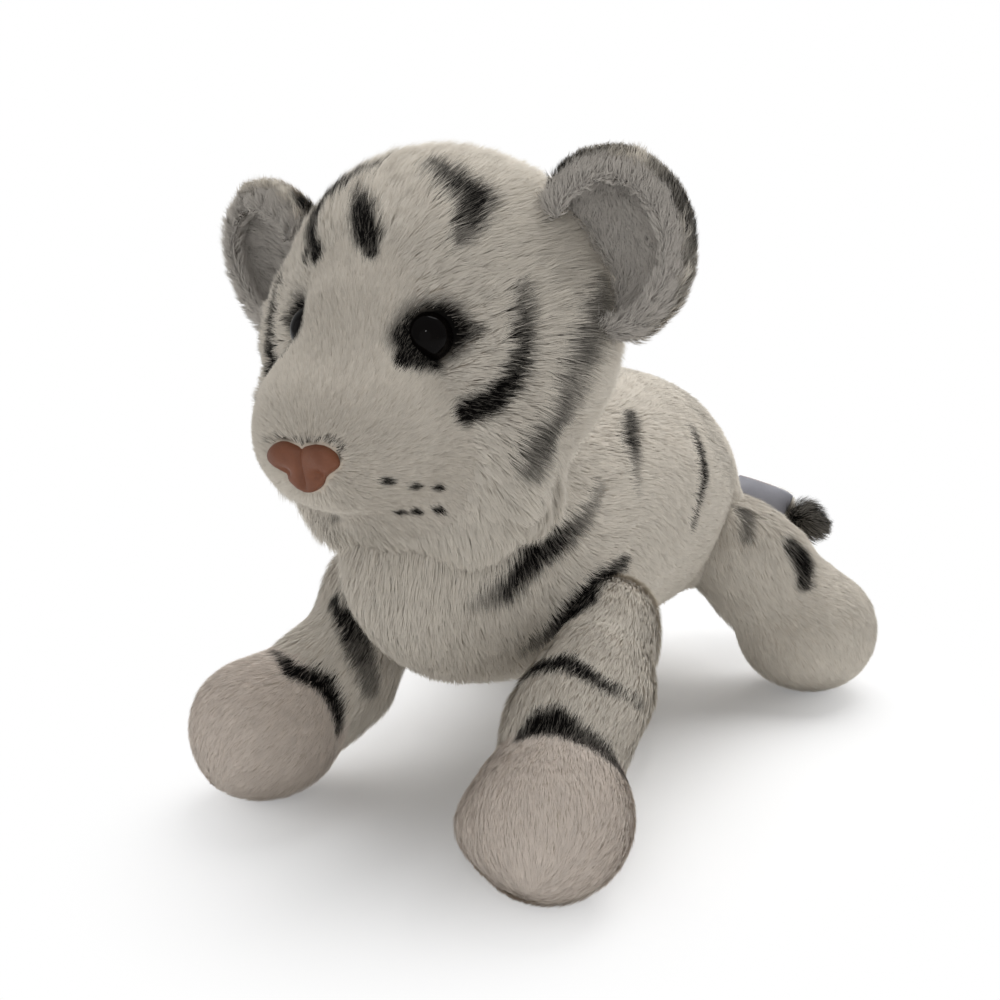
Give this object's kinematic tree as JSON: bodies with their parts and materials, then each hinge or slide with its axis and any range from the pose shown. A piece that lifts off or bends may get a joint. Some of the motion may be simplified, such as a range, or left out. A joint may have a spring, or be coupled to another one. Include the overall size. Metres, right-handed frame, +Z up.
{
  "type": "plush tiger cub",
  "caption": "White tiger cub soft toy lying on its paws with its head up, stuffed body and pellet-filled paws, soft sewn joints at neck, legs and tail.",
  "frame": {"origin": "on the ground, under the centre of the bounding box", "axes": "+Z up, the tiger faces -Y, its left side is at +X"},
  "size_m": [0.1812, 0.2934, 0.2095],
  "materials": {
    "white_fur": "long off-white plush pile with black stripes",
    "black_fur": "black plush pile",
    "ear_lining": "short grey plush",
    "stuffing": "loose polyester fibre",
    "pellets": "small plastic pellets in a cloth pouch",
    "eye_plastic": "polished black dome",
    "washer_plastic": "moulded lock washer",
    "nose_leather": "soft terracotta leather, lightly padded",
    "label_satin": "blank woven satin"
  },
  "bodies": {
    "torso": {"body": "white_fur", "body_stuffing": "stuffing", "rump_pellet_pouch": "pellets"},
    "neck": {"neck_stuffing": "stuffing"},
    "head": {"head": "white_fur", "head_stuffing": "stuffing", "muzzle": "white_fur", "ear_left": "white_fur", "ear_right": "white_fur", "ear_lining_left": "ear_lining", "ear_lining_right": "ear_lining", "eye_left": "eye_plastic", "eye_right": "eye_plastic", "eye_washer_left": "washer_plastic", "eye_washer_right": "washer_plastic", "nose": "nose_leather", "nose_washer": "washer_plastic"},
    "foreleg_left": {"foreleg_left": "white_fur", "forepaw_left": "white_fur", "forepaw_pellets_left": "pellets"},
    "foreleg_right": {"foreleg_right": "white_fur", "forepaw_right": "white_fur", "forepaw_pellets_right": "pellets"},
    "hindleg_left": {"hindleg_left": "white_fur", "hindpaw_left": "white_fur", "hindpaw_pellets_left": "pellets"},
    "hindleg_right": {"hindleg_right": "white_fur", "hindpaw_right": "white_fur", "hindpaw_pellets_right": "pellets"},
    "tail": {"tail": "white_fur", "tail_tip": "black_fur", "blank_label": "label_satin"}
  },
  "joints": [
    {"name": "head_turn", "type": "hinge", "parent": "torso", "child": "neck", "pos_m": [0, -0.06081, 0.12], "axis": [0, 0, 1], "range_deg": [-15, 15], "stiffness_Nm_per_rad": 0.6},
    {"name": "head_nod", "type": "hinge", "parent": "neck", "child": "head", "pos_m": [0, -0.06081, 0.12], "axis": [1, 0, 0], "range_deg": [-8, 10], "stiffness_Nm_per_rad": 1.2},
    {"name": "foreleg_left_raise", "type": "hinge", "parent": "torso", "child": "foreleg_left", "pos_m": [0.044, -0.05281, 0.06], "axis": [1, 0, 0], "range_deg": [-30, 6], "stiffness_Nm_per_rad": 1},
    {"name": "foreleg_right_raise", "type": "hinge", "parent": "torso", "child": "foreleg_right", "pos_m": [-0.044, -0.05281, 0.06], "axis": [1, 0, 0], "range_deg": [-30, 6], "stiffness_Nm_per_rad": 1},
    {"name": "hindleg_left_swing", "type": "hinge", "parent": "torso", "child": "hindleg_left", "pos_m": [0.038, 0.06919, 0.057], "axis": [0, 0, 1], "range_deg": [-15, 15], "stiffness_Nm_per_rad": 0.5},
    {"name": "hindleg_right_swing", "type": "hinge", "parent": "torso", "child": "hindleg_right", "pos_m": [-0.038, 0.06919, 0.057], "axis": [0, 0, 1], "range_deg": [-15, 15], "stiffness_Nm_per_rad": 0.5},
    {"name": "tail_swing", "type": "hinge", "parent": "torso", "child": "tail", "pos_m": [0, 0.10619, 0.06], "axis": [0, 0, 1], "range_deg": [0, 40], "stiffness_Nm_per_rad": 0.05}
  ]
}
